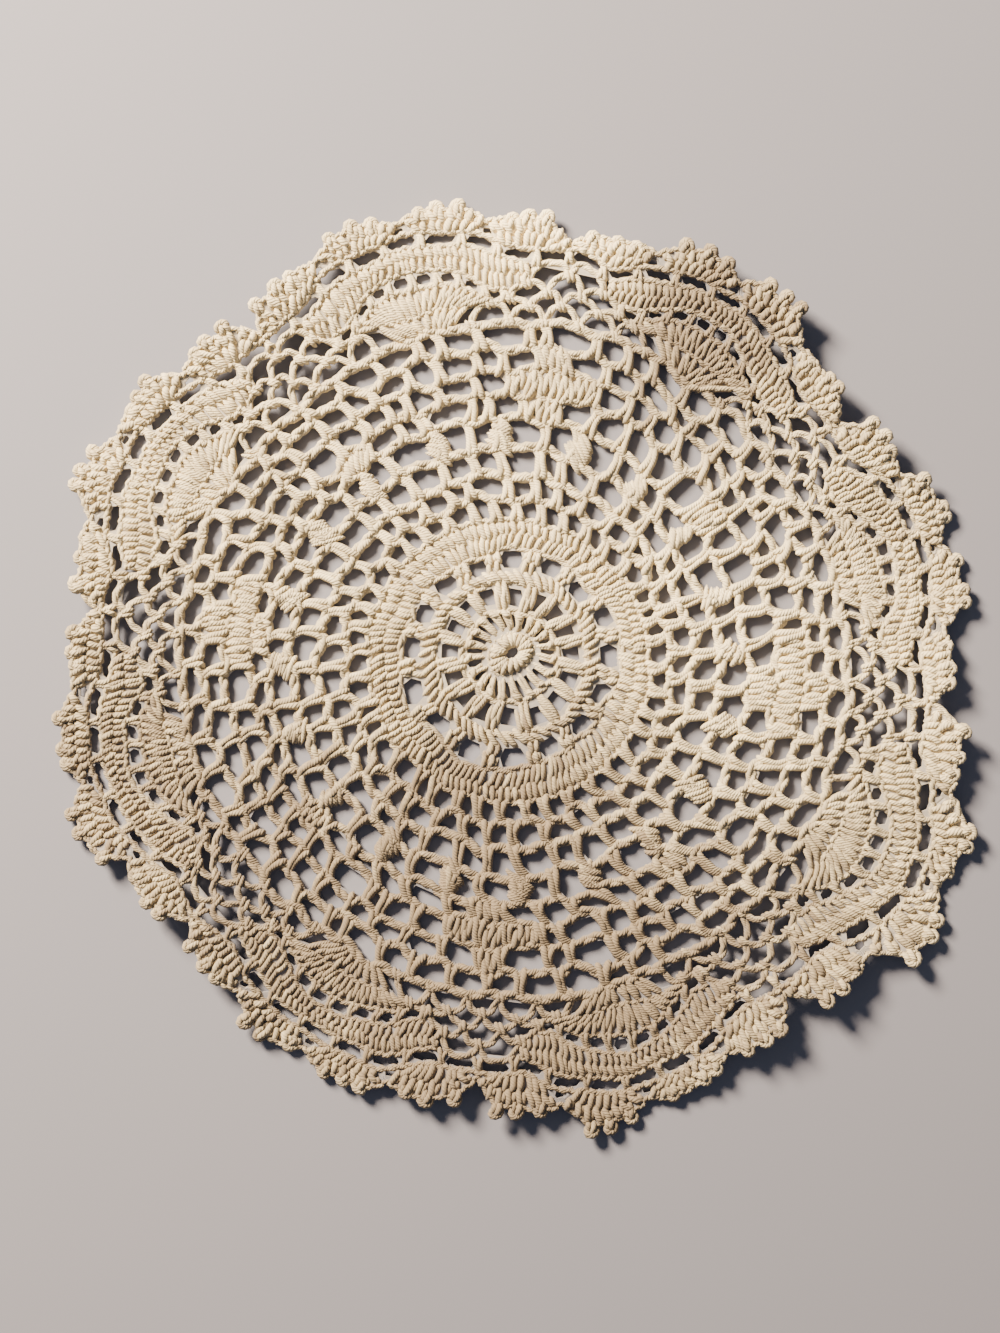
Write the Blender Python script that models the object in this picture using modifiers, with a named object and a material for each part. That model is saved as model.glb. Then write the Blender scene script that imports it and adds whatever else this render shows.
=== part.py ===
"""Round crochet doily, about 38 cm across, worked in one piece from the centre out.

The cloth is one sheet. Its bearings run clockwise from +Y, and a turn counts the eight
sections of the doily: turn 0 is the first valley, turn 0.5 the crown of the first petal.
"""

import math

import bmesh
import bpy

# Driving sizes, in millimetres
THICKNESS = 2.4
EYE_REACH = 45.0          # the rounds inside this reach radiate from the eye
NET_START = 60.0          # reach of the first net round
NET_EVEN = 90.0           # from this reach on the net stands out as far as it does at its edge
NET_EDGE = 139.6          # reach of the last net round, where the petals start
FOLD_START = 112.0        # the cloth lies flat inside this reach
FOLD_END = 185.0          # reach at which a fold stands at its full lift
EVEN_RIM = (171.0, 180.5, 186.0, 180.5)   # reach of the notches of an even petal, by quarters
LOOSENESS = 0.9           # how far a hand-worked stitch strays
LONGEST_EDGE = 21.0       # longest edge of the mesh where the cloth is folded
MM = 0.001

# One row for each petal: the bearing of the valley before it, how far the net stands out
# there, the reaches of that valley and of the three notches after it, the reaches of its four
# shells, and how far the cloth lifts off the surface at the valley and at the crown. All
# petals but the first touch the surface again at their crowns.
PETAL_COLUMNS = ("bearing", "net", "notches", "shells", "valley_lift", "crown_lift")
PETALS = [dict(zip(PETAL_COLUMNS, row)) for row in (
    (7.5, -0.5, (172.5, 176.0, 179.0, 172.0), (180.0, 187.5, 188.0, 175.0), 3.0, 7.0),
    (53.5, -6.0, (161.5, 174.5, 180.5, 175.5), (178.5, 189.0, 189.5, 180.5), 12.0, 0.0),
    (96.0, -1.5, (171.5, 185.5, 196.5, 187.5), (189.0, 203.0, 208.0, 192.0), 7.0, 0.0),
    (141.0, 1.0, (174.5, 183.0, 189.0, 183.5), (189.0, 193.5, 199.0, 189.0), 8.0, 0.0),
    (185.5, 0.0, (172.5, 182.0, 182.5, 177.5), (187.5, 191.0, 190.0, 182.5), 5.0, 0.0),
    (231.5, -1.0, (170.0, 180.0, 186.5, 182.5), (184.0, 197.5, 194.0, 185.5), 9.0, 0.0),
    (277.0, 1.0, (174.0, 184.5, 188.0, 181.0), (187.5, 199.0, 193.5, 185.5), 6.0, 0.0),
    (321.5, -0.5, (170.0, 183.0, 186.5, 181.0), (185.5, 193.5, 192.5, 185.5), 10.0, 0.0),
)]
SECTIONS = len(PETALS)

# The rounds are not quite concentric: where each reach is centred
DRIFT_COLUMNS = ("reach", "right", "up")
DRIFT = [dict(zip(DRIFT_COLUMNS, row)) for row in (
    (0.0, -0.9, 2.9),
    (27.0, -1.0, 1.1),
    (62.0, -1.9, -0.6),
    (95.0, -1.9, -0.7),
    (115.0, 2.4, 0.4),
    (140.0, 1.7, 0.0),
)]

# Open rounds of the net. Columns are counted in a repeat of some sections, the first one
# starts at an offset in columns from the valley, and filled columns are worked solid.
ROUND_COLUMNS = ("name", "repeat", "columns", "offset", "filled", "inner", "outer", "post", "line")
ROUNDS = [dict(zip(ROUND_COLUMNS, row)) for row in (
    ("loops", 1, 2, 0.28, (), 36.8, 45.2, 7.2, 2.2),
    ("fourth net", 2, 10, 0.10, (), 89.0, 100.6, 5.2, 4.6),
    ("fifth net", 1, 6, -0.50, (0,), 100.6, 110.4, 4.8, 3.8),
    ("sixth net", 2, 14, -0.50, (13, 0, 1), 110.4, 120.6, 4.4, 3.8),
    ("seventh net", 2, 14, -0.50, (0,), 120.6, 130.0, 4.6, 3.4),
    ("eighth net", 1, 7, -0.10, (), 130.0, 139.6, 4.8, 3.2),
)]
WEDGE_ROUND = "fourth net"
WEDGE_EXTRA = 3.2         # every second post of that round fans out by this much
ROUNDING = 1.3            # how far the corners of a space are drawn in

# Long spaces under the shells of a petal. They follow an arch that falls with the square of
# the distance from the crown, and the narrow space at the crown itself stays closed.
ARCH_CROWN = 177.8
ARCH_DROP = 97.0
ARCH_STEP = 0.111         # turn from one space to the next
ARCH_SPACES = (-3, -2, -1, 1, 2, 3)
ARCH_WIDTH = 9.8
ARCH_HEIGHT = 4.4

# Rim of one shell, from notch to notch: place along it, and share of its height
SHELL_PROFILE = (
    (0.00, 0.00), (0.10, 0.42), (0.21, 0.74),
    (0.26, 0.94), (0.32, 0.95), (0.39, 0.74),
    (0.46, 1.00), (0.54, 1.00), (0.61, 0.74),
    (0.68, 0.95), (0.74, 0.94), (0.79, 0.74), (0.90, 0.42),
)


def blend(start, end, share):
    """Go from start to end along a soft S."""
    return start + (end - start) * (0.5 - 0.5 * math.cos(math.pi * share))


def bearing_at(turn):
    section = math.floor(turn)
    before = PETALS[section % SECTIONS]["bearing"]
    after = PETALS[(section + 1) % SECTIONS]["bearing"]
    return before + (turn - section) * ((after - before) % 360.0)


def notch_line(turn):
    """Reach of the line through the notches, on the real rim and on an even one."""
    quarter = math.floor(turn * 4)
    share = turn * 4 - quarter
    reaches = []
    for corner in (quarter, quarter + 1):
        petal = PETALS[(corner // 4) % SECTIONS]
        reaches.append((petal["notches"][corner % 4], EVEN_RIM[corner % 4]))
    return tuple(blend(start, end, share) for start, end in zip(*reaches))


def drift_at(reach):
    for inner, outer in zip(DRIFT, DRIFT[1:]):
        if reach < outer["reach"]:
            share = (reach - inner["reach"]) / (outer["reach"] - inner["reach"])
            return tuple(blend(inner[side], outer[side], share) for side in ("right", "up"))
    return DRIFT[-1]["right"], DRIFT[-1]["up"]


def net_shift(turn, reach):
    section = math.floor(turn)
    before = PETALS[section % SECTIONS]["net"]
    after = PETALS[(section + 1) % SECTIONS]["net"]
    grown = min(1.0, max(0.0, (reach - NET_START) / (NET_EVEN - NET_START)))
    return grown * blend(before, after, turn - section)


def eye_swing(bearing, reach, right, up):
    """How far round a stitch sits because it points at the eye, not at its round's centre."""
    share = min(1.0, max(0.0, (NET_START - reach) / (NET_START - EYE_REACH)))
    eye = DRIFT[0]
    sideways = (eye["right"] - right) * math.cos(bearing) - (eye["up"] - up) * math.sin(bearing)
    return share * sideways / max(reach, 1.0)


def place(turn, reach, beyond=0.0):
    """Millimetres right and up of a stitch at this turn and reach of an even doily."""
    real_rim, even_rim = notch_line(turn)
    outward = max(0.0, reach - NET_EDGE) / (even_rim - NET_EDGE)
    right, up = drift_at(reach)
    shift = max(0.0, 1.0 - outward) * net_shift(turn, reach)
    reach += shift + outward * (real_rim - even_rim) + beyond
    bearing = math.radians(bearing_at(turn))
    bearing += eye_swing(bearing, reach, right, up)
    right += reach * math.sin(bearing)
    up += reach * math.cos(bearing)
    stray = LOOSENESS * max(0.0, 1.0 - outward)
    return (right + stray * math.sin(right / 6.1 + 1.3 * math.sin(up / 9.7)),
            up + stray * math.sin(up / 6.7 + 1.3 * math.sin(right / 8.9)))


def lift_at(right, up):
    """How far the underside of the cloth stands off the surface."""
    right -= DRIFT[-1]["right"]
    up -= DRIFT[-1]["up"]
    bearing = math.degrees(math.atan2(right, up)) % 360.0
    lift = 0.0
    for index, petal in enumerate(PETALS):
        after = PETALS[(index + 1) % SECTIONS]
        width = (after["bearing"] - petal["bearing"]) % 360.0
        share = ((bearing - petal["bearing"]) % 360.0) / width
        if share < 0.5:
            lift = blend(petal["valley_lift"], petal["crown_lift"], share * 2)
        elif share < 1.0:
            lift = blend(petal["crown_lift"], after["valley_lift"], share * 2 - 1)
    rise = max(0.0, math.hypot(right, up) - FOLD_START) / (FOLD_END - FOLD_START)
    return lift * rise ** 2


def rim_outline():
    points = []
    for shell in range(SECTIONS * 4):
        crown = PETALS[shell // 4]["shells"][shell % 4]
        for along, share in SHELL_PROFILE:
            turn = (shell + along) / 4
            real_rim, even_rim = notch_line(turn)
            points.append(place(turn, even_rim, share * (crown - real_rim)))
    return points


def turns_across(width, reach):
    """The turn that a width in millimetres takes up at this reach."""
    return math.degrees(width / reach) * SECTIONS / 360.0


def net_opening(net, column):
    """Six corners of one space of a net round, between its posts and its chain lines."""
    width = net["repeat"] / net["columns"]
    left = (column + net["offset"]) * width
    low = net["inner"] + net["line"] / 2
    high = net["outer"] - net["line"] / 2
    middle = (low + high) / 2

    def corner(side, reach):
        margin = net["post"] / 2
        if reach != middle:
            margin += ROUNDING
        if net["name"] == WEDGE_ROUND and (column + (side > 0)) % 2:
            margin += WEDGE_EXTRA * (reach - low) / (high - low)
        edge = left if side < 0 else left + width
        return place(edge - side * turns_across(margin, reach), reach)

    return [corner(-1, middle), corner(-1, high), corner(1, high),
            corner(1, middle), corner(1, low), corner(-1, low)]


def arch_opening(section, space):
    """Six corners of one long space under the shells of a petal."""
    corners = []
    for across, out in ((-0.5, 0.0), (-0.4, 0.5), (0.4, 0.5), (0.5, 0.0), (0.4, -0.5), (-0.4, -0.5)):
        turn = space * ARCH_STEP + turns_across(across * ARCH_WIDTH, ARCH_CROWN)
        reach = ARCH_CROWN - ARCH_DROP * turn ** 2 + out * ARCH_HEIGHT
        corners.append(place(section + 0.5 + turn, reach))
    return corners


def all_openings():
    openings = []
    for net in ROUNDS:
        repeats = SECTIONS // net["repeat"]
        for column in range(repeats * net["columns"]):
            if column % net["columns"] not in net["filled"]:
                openings.append(net_opening(net, column))
    for section in range(SECTIONS):
        openings.extend(arch_opening(section, space) for space in ARCH_SPACES)
    return openings


def cut_cloth(name, outline, openings):
    """The flat cloth as a mesh with no thickness, filled between its outline and openings."""
    curve = bpy.data.curves.new(name, "CURVE")
    curve.dimensions = "2D"
    curve.fill_mode = "BOTH"
    for loop in [outline] + openings:
        spline = curve.splines.new("POLY")
        spline.points.add(len(loop) - 1)
        for point, (right, up) in zip(spline.points, loop):
            point.co = (right * MM, up * MM, 0.0, 1.0)
        spline.use_cyclic_u = True
    flat = bpy.data.objects.new(name + "_outline", curve)
    bpy.context.scene.collection.objects.link(flat)
    depsgraph = bpy.context.evaluated_depsgraph_get()
    mesh = bpy.data.meshes.new_from_object(flat.evaluated_get(depsgraph))
    bpy.data.objects.remove(flat)
    return mesh


def is_long(edge):
    """Whether an edge is too long to follow the folds of the rim."""
    lifted = min(vertex.co.length for vertex in edge.verts) > FOLD_START * MM
    return lifted and edge.calc_length() > LONGEST_EDGE * MM and not edge.is_boundary


def lay_cloth(mesh):
    """Even out the triangles of the flat cloth, then lift its folds."""
    cloth = bmesh.new()
    cloth.from_mesh(mesh)
    bmesh.ops.remove_doubles(cloth, verts=cloth.verts, dist=1e-6)
    for _ in range(2):
        bmesh.ops.beautify_fill(cloth, faces=cloth.faces, edges=cloth.edges)
        bmesh.ops.subdivide_edges(cloth, edges=[e for e in cloth.edges if is_long(e)], cuts=1)
        bmesh.ops.triangulate(cloth, faces=cloth.faces)
    bmesh.ops.beautify_fill(cloth, faces=cloth.faces, edges=cloth.edges)
    bmesh.ops.recalc_face_normals(cloth, faces=cloth.faces)
    if sum(face.normal.z for face in cloth.faces) < 0:
        bmesh.ops.reverse_faces(cloth, faces=cloth.faces)
    for vertex in cloth.verts:
        vertex.co.z = lift_at(vertex.co.x / MM, vertex.co.y / MM) * MM
    cloth.to_mesh(mesh)
    cloth.free()


def cotton_yarn():
    material = bpy.data.materials.new("ecru_cotton_yarn")
    material.use_nodes = True
    shader = material.node_tree.nodes["Principled BSDF"]
    shader.inputs["Base Color"].default_value = (0.70, 0.62, 0.48, 1.0)
    shader.inputs["Roughness"].default_value = 0.9
    shader.inputs["Metallic"].default_value = 0.0
    return material


def main():
    for thing in list(bpy.data.objects):
        bpy.data.objects.remove(thing)
    collection = bpy.data.collections.new("crochet_doily")
    bpy.context.scene.collection.children.link(collection)
    mesh = cut_cloth("doily", rim_outline(), all_openings())
    lay_cloth(mesh)
    mesh.materials.append(cotton_yarn())
    doily = bpy.data.objects.new("doily", mesh)
    collection.objects.link(doily)
    thicken = doily.modifiers.new("yarn thickness", "SOLIDIFY")
    thicken.thickness = THICKNESS * MM
    thicken.offset = 1.0


main()
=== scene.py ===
import math

import bpy
import bmesh
import numpy as np
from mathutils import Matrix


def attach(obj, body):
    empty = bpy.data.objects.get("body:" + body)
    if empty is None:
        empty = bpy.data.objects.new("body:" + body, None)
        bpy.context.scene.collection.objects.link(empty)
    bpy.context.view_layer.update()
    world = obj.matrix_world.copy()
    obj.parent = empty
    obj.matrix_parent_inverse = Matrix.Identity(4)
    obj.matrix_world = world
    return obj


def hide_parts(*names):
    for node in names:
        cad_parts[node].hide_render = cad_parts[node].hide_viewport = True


mm = 0.001
chance = np.random.default_rng(41)     # seeded, so the same yarn comes out each time


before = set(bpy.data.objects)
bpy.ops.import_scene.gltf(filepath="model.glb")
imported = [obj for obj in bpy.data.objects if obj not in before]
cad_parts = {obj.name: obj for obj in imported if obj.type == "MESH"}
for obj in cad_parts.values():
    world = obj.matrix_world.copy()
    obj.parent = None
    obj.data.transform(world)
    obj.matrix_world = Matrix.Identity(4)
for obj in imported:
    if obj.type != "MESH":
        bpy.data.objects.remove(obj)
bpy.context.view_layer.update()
bpy.ops.object.select_all(action="DESELECT")

# How the cloth lies, in mm. A turn counts its eight sections clockwise from the first valley,
# so a crown is at every half turn, and a reach is the distance from the middle.
cloth = {
    "eyeReach": 45.0, "netStart": 60.0, "netEven": 90.0, "netEdge": 139.6,
    "foldStart": 112.0, "foldEnd": 185.0,
    "evenRim": (171.0, 180.5, 186.0, 180.5),     # notches of an even petal, by quarters
    # mm that hand tension moves a stitch in broad waves and in small ones, and the mm over
    # 2 pi of each wave: broad, its bend, small along the other axis and along its own
    "looseness": 0.9, "unevenness": 0.55, "waveBend": 1.3,
    "wavesRight": (6.1, 9.7, 3.7, 11.3), "wavesUp": (6.7, 8.9, 4.1, -9.1),
    "flatSize": (0.382, 0.387),                  # metres
}
petalColumns = ("bearing", "net", "notches", "shells", "valleyLift", "crownLift")
petals = [dict(zip(petalColumns, row)) for row in (
    (7.5, -0.5, (172.5, 176.0, 179.0, 172.0), (180.0, 187.5, 188.0, 175.0), 3.0, 7.0),
    (53.5, -6.0, (161.5, 174.5, 180.5, 175.5), (178.5, 189.0, 189.5, 180.5), 12.0, 0.0),
    (96.0, -1.5, (171.5, 185.5, 196.5, 187.5), (189.0, 203.0, 208.0, 192.0), 7.0, 0.0),
    (141.0, 1.0, (174.5, 183.0, 189.0, 183.5), (189.0, 193.5, 199.0, 189.0), 8.0, 0.0),
    (185.5, 0.0, (172.5, 182.0, 182.5, 177.5), (187.5, 191.0, 190.0, 182.5), 5.0, 0.0),
    (231.5, -1.0, (170.0, 180.0, 186.5, 182.5), (184.0, 197.5, 194.0, 185.5), 9.0, 0.0),
    (277.0, 1.0, (174.0, 184.5, 188.0, 181.0), (187.5, 199.0, 193.5, 185.5), 6.0, 0.0),
    (321.5, -0.5, (170.0, 183.0, 186.5, 181.0), (185.5, 193.5, 192.5, 185.5), 10.0, 0.0),
)]
sections = len(petals)
bearings = [petal["bearing"] for petal in petals] + [petals[0]["bearing"] + 360.0]
notches = [reach for petal in petals for reach in petal["notches"]]
shellReaches = [reach for petal in petals for reach in petal["shells"]]
lifts = [petal[key] for petal in petals for key in ("valleyLift", "crownLift")]

# The rounds are not quite concentric: where each reach is centred
driftReach = (0.0, 27.0, 62.0, 95.0, 115.0, 140.0)
driftRight = (-0.9, -1.0, -1.9, -1.9, 2.4, 1.7)
driftUp = (2.9, 1.1, -0.6, -0.7, 0.4, 0.0)


def softly(share):
    return 0.5 - 0.5 * np.cos(np.pi * np.clip(share, 0.0, 1.0))


def roundTheCloth(values, turn):
    # values are spaced evenly round the cloth, and blend softly from one to the next
    values = np.asarray(values, float)
    spot = np.asarray(turn, float) * len(values) / sections
    low = np.floor(spot).astype(int)
    share = softly(spot - low)
    return values[low % len(values)] * (1 - share) + values[(low + 1) % len(values)] * share


def driftAt(reach, values):
    index = np.clip(np.searchsorted(driftReach, reach, side="right") - 1, 0, len(values) - 2)
    start, end = np.take(driftReach, index), np.take(driftReach, index + 1)
    share = softly((reach - start) / (end - start))
    return np.take(values, index) * (1 - share) + np.take(values, index + 1) * share


def looseAlong(along, across, stray, waves):
    broad, bend, small, own = waves
    moved = along + stray * np.sin(along / broad + cloth["waveBend"] * np.sin(across / bend))
    return moved + cloth["unevenness"] * np.sin(across / small + along / own)


def place(turn, reach, beyond=0.0):
    # millimetres right and up of a stitch at this turn and reach of an even doily
    turn, reach = np.broadcast_arrays(np.asarray(turn, float), np.asarray(reach, float))
    right, up = driftAt(reach, driftRight), driftAt(reach, driftUp)
    evenRim = roundTheCloth(cloth["evenRim"] * sections, turn)
    outward = np.maximum(0.0, reach - cloth["netEdge"]) / (evenRim - cloth["netEdge"])
    inward = np.maximum(0.0, 1.0 - outward)
    grown = np.clip((reach - cloth["netStart"]) / (cloth["netEven"] - cloth["netStart"]), 0, 1)
    shift = inward * grown * roundTheCloth([petal["net"] for petal in petals], turn)
    reach = reach + shift + outward * (roundTheCloth(notches, turn) - evenRim) + beyond
    bearing = np.radians(np.interp(turn % sections, range(sections + 1), bearings))
    # the inner rounds point at the eye, which is not quite at their centre
    inner = np.clip((cloth["netStart"] - reach) / (cloth["netStart"] - cloth["eyeReach"]), 0, 1)
    sideways = (driftRight[0] - right) * np.cos(bearing) - (driftUp[0] - up) * np.sin(bearing)
    bearing = bearing + inner * sideways / np.maximum(reach, 1.0)
    right = right + reach * np.sin(bearing)
    up = up + reach * np.cos(bearing)
    stray = cloth["looseness"] * inward
    return (looseAlong(right, up, stray, cloth["wavesRight"]),
            looseAlong(up, right, stray, cloth["wavesUp"]))


def liftAt(right, up):
    # how far the underside of the cloth stands off the surface
    right, up = right - driftRight[-1], up - driftUp[-1]
    bearing = (np.degrees(np.arctan2(right, up)) - bearings[0]) % 360.0 + bearings[0]
    turn = np.interp(bearing, bearings, range(sections + 1))
    rise = np.maximum(0.0, np.hypot(right, up) - cloth["foldStart"])
    return roundTheCloth(lifts, turn) * (rise / (cloth["foldEnd"] - cloth["foldStart"])) ** 2


def lay(turn, reach, height, beyond=0.0):
    right, up = place(turn, reach, beyond)
    return np.stack([right, up, liftAt(right, up) + height], axis=-1)


def turnsAcross(width, reach):
    return width / reach * sections / (2 * math.pi)


# The lines of chains and stitch heads that the rounds stand on, as reaches in mm. A petal's
# line falls with the square of the degrees from its crown, then runs softly to the valley.
def evenLine(reach):
    return lambda turn: np.full_like(np.asarray(turn, float), reach)


def petalLine(crown, drop, flank, valley):
    def reachAt(turn):
        away = np.abs(np.asarray(turn, float) % 1 - 0.5) * 360 / sections
        toValley = softly((away - flank) / (180 / sections - flank))
        return crown - drop * np.minimum(away, flank) ** 2 + (valley - crown + drop * flank ** 2) * toValley
    return reachAt


lines = {
    "spokes": evenLine(19.2), "clusters": evenLine(32.4), "clusterTops": evenLine(35.9),
    "loops": evenLine(45.4), "band": evenLine(58.1),
    "netA": evenLine(68.1), "netB": evenLine(78.1), "netC": evenLine(89.0), "netD": evenLine(100.6),
    "netE": evenLine(110.4), "netF": evenLine(120.6), "netG": evenLine(130.0), "netH": evenLine(139.6),
    "fan": petalLine(148.6, 0.012, 11.25, 147.3),
    "wideFan": petalLine(159.8, 0.0893, 11.25, 153.1),
    "smallSpaces": petalLine(166.7, 0.098, 11.6, 159.1),
    "arch": petalLine(175.1, 0.048, 16.0, 164.7),
    "longSpaces": petalLine(181.0, 0.048, 16.0, 169.6),
    "rim": lambda turn: roundTheCloth(cloth["evenRim"] * sections, turn),
}

# The yarn: lengths in mm, and its unevenness, taper and roll as shares
yarn = {
    "radius": 1.03, "sides": 6, "unevenness": 0.09,
    "ringsPerPoint": 1.5, "endTaper": 0.6,
    "lowest": 0.95, "clearance": 0.02,   # a strand's middle and its skin, above the surface
    "wander": 0.17,                      # that a strand strays from its place
    "stitchWander": 0.35,                # that a whole stitch does
    "chainTwist": 9.5, "chainRoll": 0.45, "chainSpread": 0.72, "chainHeight": 2.2,
    "braidTwist": 5.2, "braidRoll": 0.8, "rollLift": 1.6,
    "chainStep": 1.5,
    "lineSag": 0.8, "sagStep": 9.0,      # that a line of chains sags, and how often
    "lineSpots": 64,                     # places round a line that its mean reach is taken from
    "footPull": 1.3, "headPull": -1.5, "pullWidth": 3.4,
}
# The strands of each kind of stitch: how thick one is along its way, then its path as mm
# across the stitch, share of the way from the foot line to the head line, mm beyond that, and
# mm above the surface
even, plump, blunt = (1.0, 1.0), (0.5, 1.1, 1.2, 1.1, 0.5), (0.8, 1.12, 1.15, 1.05, 0.8)
post = (
    (even, ((0.1, 0.00, -1.0, 1.1), (0.0, 0.35, 0.0, 1.2), (0.3, 0.70, 0.0, 1.2), (-1.2, 1.00, 0.0, 1.2))),
    (blunt, ((-2.2, 0.00, -1.3, 1.3), (-1.8, 0.00, -0.3, 2.9), (-1.1, 0.20, 0.0, 3.2),
             (-0.8, 0.45, 0.0, 2.6), (-0.9, 0.72, 0.0, 2.2), (-2.6, 1.00, -0.1, 1.8))),
    (blunt, ((2.1, 0.00, -1.1, 1.3), (1.7, 0.00, -0.2, 2.8), (1.0, 0.24, 0.0, 3.1),
             (0.8, 0.48, 0.0, 2.8), (0.5, 0.75, 0.0, 2.6), (-1.2, 1.00, 0.1, 2.1))),
    ((0.7, 1.1, 0.8), ((0.4, 0.66, 0.0, 1.6), (1.3, 0.86, 0.0, 2.0), (3.2, 0.98, 0.0, 1.9))),
)
tall = (
    (even, ((0.7, 0.00, 0.2, 1.3), (0.9, 0.50, 0.0, 1.6), (0.9, 1.00, -0.2, 1.3))),
    (plump, ((-0.35, 0.00, -1.2, 1.3), (-0.4, 0.08, 0.0, 2.6), (-0.15, 0.27, 0.0, 3.0),
             (0.3, 0.44, 0.0, 2.8), (0.7, 0.60, 0.0, 1.5))),
    (plump, ((1.9, 0.36, 0.0, 1.4), (1.55, 0.50, 0.0, 2.8), (1.2, 0.70, 0.0, 3.2),
             (1.0, 0.88, 0.0, 2.8), (0.9, 1.00, 0.9, 1.5))),
    ((0.5, 1.0, 1.0, 0.5), ((-0.9, 0.50, 0.0, 1.3), (-0.3, 0.64, 0.0, 2.4), (0.0, 0.82, 0.0, 2.6),
                            (0.1, 1.00, 0.3, 1.4))),
)
long = (
    (even, ((0.7, 0.00, 0.2, 1.3), (1.0, 0.50, 0.0, 1.6), (0.9, 1.00, -0.2, 1.3))),
    (plump, ((-0.35, 0.00, -1.4, 1.3), (-0.4, 0.06, 0.0, 2.7), (-0.3, 0.34, 0.0, 3.1),
             (0.0, 0.64, 0.0, 2.9), (0.25, 0.92, 0.0, 1.6))),
    (plump, ((1.6, 0.16, 0.0, 1.5), (1.45, 0.34, 0.0, 2.6), (1.25, 0.64, 0.0, 3.1),
             (1.15, 0.88, 0.0, 2.9), (1.1, 1.00, 0.9, 1.5))),
)
ringStitch = (
    ((0.66, 0.92, 1.12, 1.2, 1.0), ((0.0, 0.04, 0.0, 1.0), (0.0, 0.00, 0.0, 2.1), (0.0, 0.22, 0.0, 3.3),
                                    (0.0, 0.60, 0.0, 3.6), (0.0, 0.90, 0.0, 2.6), (0.0, 0.96, 0.0, 1.1))),
)
picot = (
    ((1.0, 1.4, 1.5, 1.4, 1.0), ((-1.5, 0.00, 0.0, 1.6), (-2.0, 0.42, 0.0, 2.3), (-1.1, 0.88, 0.0, 2.5),
                                 (1.1, 0.90, 0.0, 2.5), (2.0, 0.46, 0.0, 2.3), (1.5, 0.00, 0.0, 1.6))),
    ((0.7, 1.3, 1.4, 1.3, 0.8), ((-1.2, -0.50, 0.0, 1.8), (-0.9, -0.15, 0.0, 3.2), (-0.5, 0.30, 0.0, 3.7),
                                 (0.2, 0.80, 0.0, 3.0))),
    ((0.7, 1.2, 1.3, 1.2, 0.8), ((1.4, -0.55, 0.0, 1.8), (1.2, -0.20, 0.0, 3.0), (1.1, 0.14, 0.0, 3.2),
                                 (1.0, 0.56, 0.0, 2.6))),
)
spoke = (
    ((0.7, 0.85, 0.95, 1.0, 0.9), ((-0.45, 0.00, -0.5, 1.1), (-0.45, 0.10, 0.0, 2.3), (-0.4, 0.34, 0.0, 2.9),
                                   (-0.6, 0.60, 0.0, 2.7), (-1.1, 0.82, 0.0, 2.3), (-2.3, 1.02, 0.0, 1.6))),
    ((0.5, 0.8, 0.95, 1.0, 0.9), ((0.6, 0.08, -0.4, 1.1), (0.6, 0.18, 0.0, 2.0), (0.6, 0.38, 0.0, 2.5),
                                  (0.7, 0.62, 0.0, 2.7), (0.8, 0.84, 0.0, 2.7), (1.7, 1.02, 0.2, 1.7))),
    (plump, ((1.2, 0.62, 0.0, 1.5), (0.6, 0.70, 0.0, 3.1), (-0.3, 0.79, 0.0, 3.5),
             (-1.0, 0.88, 0.0, 2.8), (-1.4, 0.96, 0.0, 1.4))),
)
slanting = ((plump, ((0.0, 0.00, 0.0, 1.3), (0.0, 0.14, 0.0, 2.7), (0.0, 0.45, 0.0, 3.3),
                     (0.0, 0.80, 0.0, 2.9), (0.0, 1.00, 0.0, 1.4))),)
knot = (
    (blunt, ((-1.05, 0.00, 0.0, 1.2), (-1.05, 0.18, 0.0, 2.9), (-1.0, 0.60, 0.0, 3.3),
             (-0.9, 1.00, 0.0, 1.7))),
    (blunt, ((1.05, 0.05, 0.0, 1.2), (1.05, 0.22, 0.0, 2.8), (1.0, 0.62, 0.0, 3.2),
             (0.6, 1.00, 0.0, 1.7))),
)


def splineWeights(points, rings):
    # each ring of a tube as a mix of its control points, along a Catmull-Rom curve
    spot = np.linspace(0, points - 1, rings)
    low = np.minimum(spot.astype(int), points - 2)
    share = spot - low
    mix = np.stack([-share + 2 * share ** 2 - share ** 3, 2 - 5 * share ** 2 + 3 * share ** 3,
                    share + 4 * share ** 2 - 3 * share ** 3, share ** 3 - share ** 2], axis=1) / 2
    weights = np.zeros((rings, points))
    for step in range(4):
        np.add.at(weights, (range(rings), np.clip(low + step - 1, 0, points - 1)), mix[:, step])
    return weights


def workStitches(skein, kind, foot, head, low, high, bend=1.0, base=0.0, rise=0.0, wide=1.0, fat=1.0):
    # lays a stitch for each foot and head, given as turns and the reaches of each. Past the
    # rim a stitch starts base mm beyond its reach and gains rise mm more. A bend over 1 keeps
    # it upright at its foot and lets it lean at its head.
    foot, head, low, high, base, rise = (np.broadcast_to(np.asarray(value, float), np.shape(foot))[:, None]
                                         for value in (foot, head, low, high, base, rise))
    offset = chance.normal(0, yarn["stitchWander"], foot.shape)
    for thick, strand in kind:
        across, share, extra, height = np.array(strand).T[:, None, :]
        turn = foot + (head - foot) * share ** bend
        reach = low + share * (high - low) + extra
        across = wide * across + offset + chance.normal(0, yarn["wander"], reach.shape)
        reach = reach + chance.normal(0, yarn["wander"], reach.shape)
        height = np.maximum(yarn["lowest"], height + chance.normal(0, yarn["wander"], reach.shape))
        paths = lay(turn + turnsAcross(across, reach), reach, height, base + share * rise)
        rings = round(yarn["ringsPerPoint"] * len(strand))
        skein.append((np.einsum("rp,npd->nrd", splineWeights(len(strand), rings), paths), False,
                      np.multiply(thick, fat)))


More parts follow.
